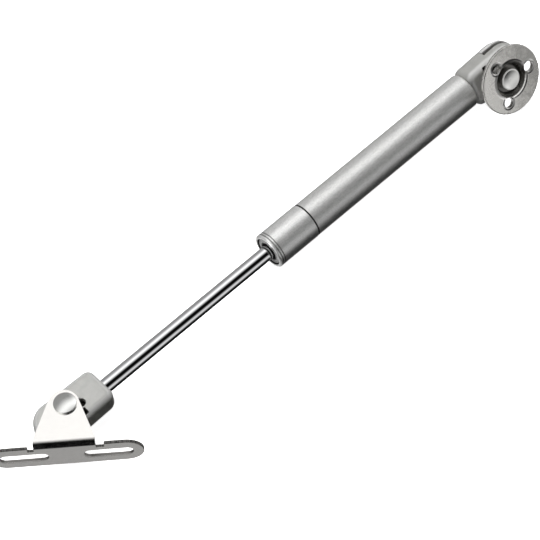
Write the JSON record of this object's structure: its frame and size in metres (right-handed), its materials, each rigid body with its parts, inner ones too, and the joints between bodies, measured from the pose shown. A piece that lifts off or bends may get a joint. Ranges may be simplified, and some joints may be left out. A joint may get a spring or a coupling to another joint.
{
  "type": "gas spring lid stay",
  "caption": "Gas spring lid stay with ball-socket ends, one on a slotted L-shaped lid plate and one on a round dished wall flange.",
  "frame": {"origin": "centre of the lid plate's mounting face, midway between its two screw slots", "axes": "+X along the lid plate, -Y out of its mounting face, +Z along the lid ball stud's axis and up as the stay lies on a table"},
  "size_m": [0.2219, 0.1736, 0.0283],
  "materials": {
    "tube": "satin silver-grey paint",
    "collar": "satin silver-grey",
    "rod": "hard chrome, polished",
    "head": "matt grey moulding",
    "bracket": "bright nickel plate",
    "flange": "satin nickel plate",
    "stud": "bright nickel plate",
    "clip": "bright spring steel",
    "guide": "pale acetal",
    "rubber": "black nitrile rubber",
    "piston": "turned",
    "ring": "off-white low-friction ring",
    "hardware": "zinc plated"
  },
  "bodies": {
    "cylinder": {"tube": "tube", "end_stub": "hardware", "front_collar": "collar", "rod_guide": "guide", "rod_wiper": "rubber", "rod_seal": "rubber", "seal_washer": "hardware", "tube_head": "head", "tube_head_clip": "clip"},
    "piston_seal": {"piston_ring": "ring"},
    "rod": {"piston_rod": "rod", "rebound_buffer": "rubber", "piston": "piston", "piston_washer": "hardware", "piston_nut": "hardware", "rod_head": "head", "rod_head_clip": "clip"},
    "lid_bracket": {"lid_plate": "bracket", "lid_stud": "stud"},
    "wall_bracket": {"wall_flange": "flange", "flange_stud": "stud"}
  },
  "joints": [
    {"name": "rod_slide", "type": "slide", "parent": "cylinder", "child": "piston_seal", "axis": [-0.766, -0.6428, 0], "range_m": [-0.07, 0], "stiffness_N_per_m": 375, "springref_m": 0.2667},
    {"name": "rod_turn", "type": "hinge", "parent": "piston_seal", "child": "rod", "pos_m": [0.0007, 0.0172, -0.0013], "axis": [0.766, 0.6428, 0], "continuous": true},
    {"name": "lid_bracket_swivel", "type": "hinge", "parent": "rod", "child": "lid_bracket", "pos_m": [0.0007, 0.0172, -0.0013], "axis": [0, 0, 1], "range_deg": [-154, 57]},
    {"name": "wall_bracket_swivel", "type": "hinge", "parent": "cylinder", "child": "wall_bracket", "pos_m": [0.17229, 0.16118, -0.0013], "axis": [0.5702, -0.6795, 0.4617], "continuous": true}
  ]
}
